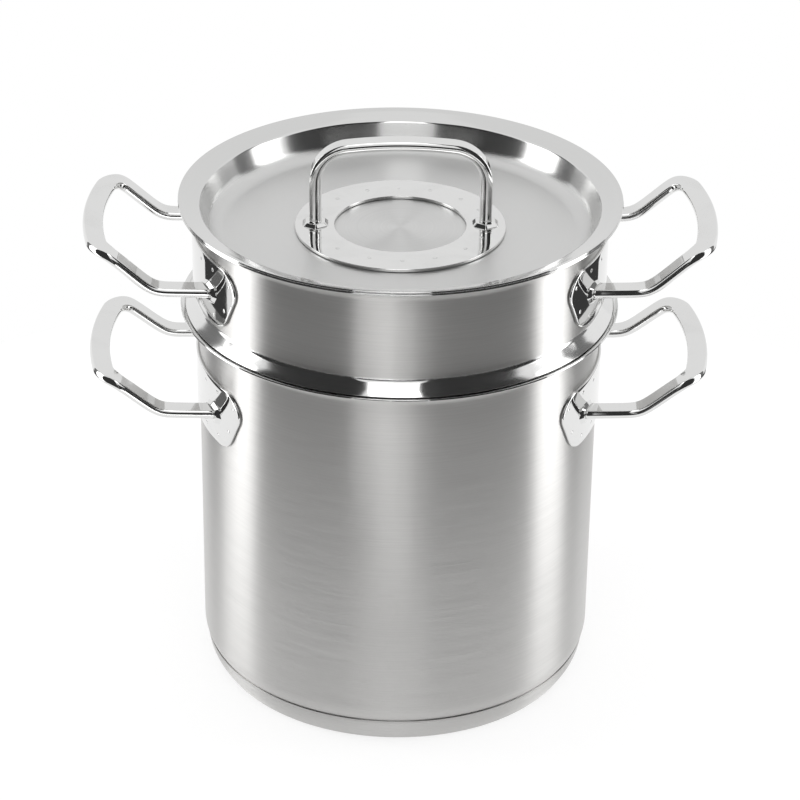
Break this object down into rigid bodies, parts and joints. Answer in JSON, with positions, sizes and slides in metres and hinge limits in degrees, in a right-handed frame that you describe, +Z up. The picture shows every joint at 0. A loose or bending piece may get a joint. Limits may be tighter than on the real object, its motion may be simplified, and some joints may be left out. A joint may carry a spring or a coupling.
{
  "type": "pasta pot with strainer insert",
  "caption": "Tall round steel pasta pot with a thick base, a lift-out perforated strainer insert with its own collar and loop handles, and a sunk lid with a bar handle.",
  "frame": {"origin": "middle of the underside of the base, on the pot's axis", "axes": "+Z up along the pot's axis, +X to the right-hand pair of side handles, -Y to the viewer of the picture"},
  "size_m": [0.3136, 0.2202, 0.2897],
  "materials": {
    "pot_wall": "brushed round the pot, polished lip",
    "base_core": "plain",
    "base_cap": "satin",
    "brackets": "mirror polished",
    "handles": "polished",
    "collar": "brushed band, polished foot and lip",
    "basket": "satin, perforated",
    "lid": "satin, brushed in circles, polished rim",
    "lid_plate": "mirror polished",
    "lid_grip": "polished"
  },
  "bodies": {
    "pot": {"pot_body": "pot_wall", "base_core": "base_core", "base_cap": "base_cap", "pot_bracket_left": "brackets", "pot_bracket_right": "brackets", "pot_handle_left": "handles", "pot_handle_right": "handles"},
    "insert": {"insert_collar": "collar", "strainer_basket": "basket", "insert_bracket_left": "brackets", "insert_bracket_right": "brackets", "insert_handle_left": "handles", "insert_handle_right": "handles"},
    "lid": {"lid_shell": "lid", "lid_handle_plate": "lid_plate", "lid_handle": "lid_grip"}
  },
  "joints": [
    {"name": "insert_lift", "type": "slide", "parent": "pot", "child": "insert", "axis": [0, 0, 1], "range_m": [0, 0.19]},
    {"name": "lid_lift", "type": "slide", "parent": "insert", "child": "lid", "axis": [0, 0, 1], "range_m": [0, 0.1]}
  ]
}
